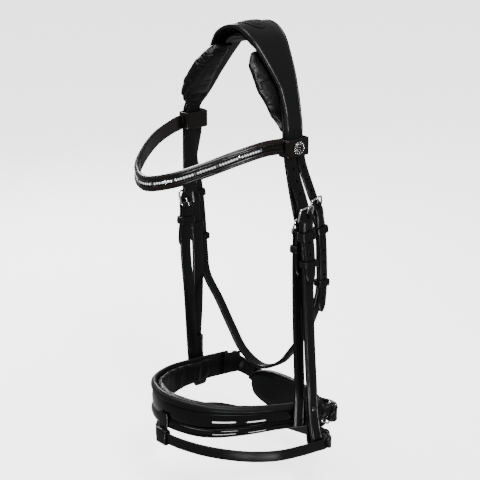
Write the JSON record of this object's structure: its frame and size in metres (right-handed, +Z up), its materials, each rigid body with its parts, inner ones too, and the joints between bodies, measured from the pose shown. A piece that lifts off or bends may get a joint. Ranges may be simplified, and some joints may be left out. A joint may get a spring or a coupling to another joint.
{
  "type": "snaffle bridle",
  "caption": "Padded leather bridle: headpiece, browband with crystal strip, two cheekpieces with bit loops, throatlatch, and wide padded noseband with flash strap and jaw pad.",
  "frame": {"origin": "the underside of the poll pad in the middle of the head, where the bridle rests on the poll", "axes": "+Z up, -Y towards the nose, +X towards the left (near) side"},
  "size_m": [0.2366, 0.235, 0.5299],
  "materials": {
    "leather": "satin",
    "soft_leather": "matt",
    "patent": "gloss",
    "steel": "polished",
    "crystal": "faceted"
  },
  "bodies": {
    "headpiece": {"headpiece_strap": "leather", "poll_pad": "soft_leather", "side_pad_left": "soft_leather", "side_pad_right": "soft_leather", "poll_patch": "leather", "noseband_sliphead": "leather"},
    "browband": {"browband_strap": "leather", "crystal_strip": "crystal", "browband_loop_left": "leather", "browband_loop_right": "leather", "rosette_left": "steel", "rosette_right": "steel"},
    "cheekpiece_left": {"cheek_billet_left": "leather", "cheek_strap_left": "leather", "cheek_buckle_left": "steel", "cheek_keeper_left": "leather", "bit_hook_left": "steel"},
    "cheek_tongue_left": {"cheek_tongue_left": "steel"},
    "cheek_runner_left": {"cheek_runner_left": "leather"},
    "cheekpiece_right": {"cheek_billet_right": "leather", "cheek_strap_right": "leather", "cheek_buckle_right": "steel", "cheek_keeper_right": "leather", "bit_hook_right": "steel"},
    "cheek_tongue_right": {"cheek_tongue_right": "steel"},
    "cheek_runner_right": {"cheek_runner_right": "leather"},
    "throatlatch": {"throatlatch_strap": "leather", "throat_billet_left": "leather", "throat_buckle_left": "steel", "throat_keeper_left": "leather", "throat_billet_right": "leather", "throat_buckle_right": "steel", "throat_keeper_right": "leather"},
    "throat_tongue_left": {"throat_tongue_left": "steel"},
    "throat_runner_left": {"throat_runner_left": "leather"},
    "throat_tongue_right": {"throat_tongue_right": "steel"},
    "throat_runner_right": {"throat_runner_right": "leather"},
    "noseband": {"noseband_shell": "patent", "noseband_padding": "soft_leather", "noseband_flap": "leather", "flash_loop": "leather", "hanger_billet_left": "leather", "hanger_strap_left": "leather", "hanger_buckle_left": "steel", "hanger_tongue_left": "steel", "hanger_keeper_left": "leather", "hanger_billet_right": "leather", "hanger_strap_right": "leather", "hanger_buckle_right": "steel", "hanger_tongue_right": "steel", "hanger_keeper_right": "leather"},
    "flash": {"flash_strap": "leather", "flash_buckle": "steel", "flash_keeper": "leather"},
    "flash_tongue": {"flash_tongue": "steel"},
    "jaw_piece": {"jaw_strap": "leather", "jaw_pad": "soft_leather", "jaw_keeper": "leather", "crank_ring_left": "steel", "crank_ring_right": "steel"}
  },
  "joints": [
    {"name": "browband_slide", "type": "slide", "parent": "headpiece", "child": "browband", "axis": [0, 0, 1], "range_m": [-0.003, 0.002]},
    {"name": "cheekpiece_left_swing", "type": "hinge", "parent": "headpiece", "child": "cheekpiece_left", "pos_m": [0.092, 0.0165, -0.113], "axis": [1, 0, 0], "range_deg": [-5, 0]},
    {"name": "cheek_tongue_left_turn", "type": "hinge", "parent": "cheekpiece_left", "child": "cheek_tongue_left", "pos_m": [0.0975, 0.01232, -0.197], "axis": [0, 0.9936, 0.1126], "range_deg": [0, 30]},
    {"name": "cheek_runner_left_slide", "type": "slide", "parent": "cheekpiece_left", "child": "cheek_runner_left", "axis": [0, -0.0516, 0.9987], "range_m": [-0.004, 0.004]},
    {"name": "cheekpiece_right_swing", "type": "hinge", "parent": "headpiece", "child": "cheekpiece_right", "pos_m": [-0.092, 0.01, -0.113], "axis": [1, 0, 0], "range_deg": [-5, 0]},
    {"name": "cheek_tongue_right_turn", "type": "hinge", "parent": "cheekpiece_right", "child": "cheek_tongue_right", "pos_m": [-0.0975, 0.00282, -0.197], "axis": [0, -0.9861, -0.1663], "range_deg": [0, 30]},
    {"name": "cheek_runner_right_slide", "type": "slide", "parent": "cheekpiece_right", "child": "cheek_runner_right", "axis": [0, -0.1031, 0.9947], "range_m": [-0.004, 0.004]},
    {"name": "throatlatch_swing", "type": "hinge", "parent": "headpiece", "child": "throatlatch", "pos_m": [0, 0.0105, -0.113], "axis": [1, 0, 0], "range_deg": [0, 4]},
    {"name": "throat_tongue_left_turn", "type": "hinge", "parent": "throatlatch", "child": "throat_tongue_left", "pos_m": [0.0955, 0.03105, -0.189], "axis": [0, 0.9571, 0.2897], "range_deg": [0, 30]},
    {"name": "throat_runner_left_slide", "type": "slide", "parent": "throatlatch", "child": "throat_runner_left", "axis": [0, 0.0252, 0.9997], "range_m": [-0.004, 0.001]},
    {"name": "throat_tongue_right_turn", "type": "hinge", "parent": "throatlatch", "child": "throat_tongue_right", "pos_m": [-0.1085, 0.02122, -0.189], "axis": [0, -0.9822, -0.188], "range_deg": [0, 30]},
    {"name": "throat_runner_right_slide", "type": "slide", "parent": "throatlatch", "child": "throat_runner_right", "axis": [0, -0.0486, 0.9988], "range_m": [-0.004, 0.001]},
    {"name": "noseband_swing", "type": "hinge", "parent": "headpiece", "child": "noseband", "pos_m": [0, -0.0094, -0.113], "axis": [1, 0, 0], "range_deg": [0, 3]},
    {"name": "flash_swing", "type": "hinge", "parent": "noseband", "child": "flash", "pos_m": [0, -0.1184, -0.458], "axis": [1, 0, 0], "range_deg": [-5, 0]},
    {"name": "flash_tongue_turn", "type": "hinge", "parent": "flash", "child": "flash_tongue", "pos_m": [0.062, 0.0695, -0.49], "axis": [0.2404, -0.0485, -0.9695], "range_deg": [0, 30]},
    {"name": "jaw_piece_swing", "type": "hinge", "parent": "noseband", "child": "jaw_piece", "pos_m": [-0.0015, 0.0595, -0.445], "axis": [0.9974, -0.0712, 0.0102], "range_deg": [0, 8]}
  ]
}
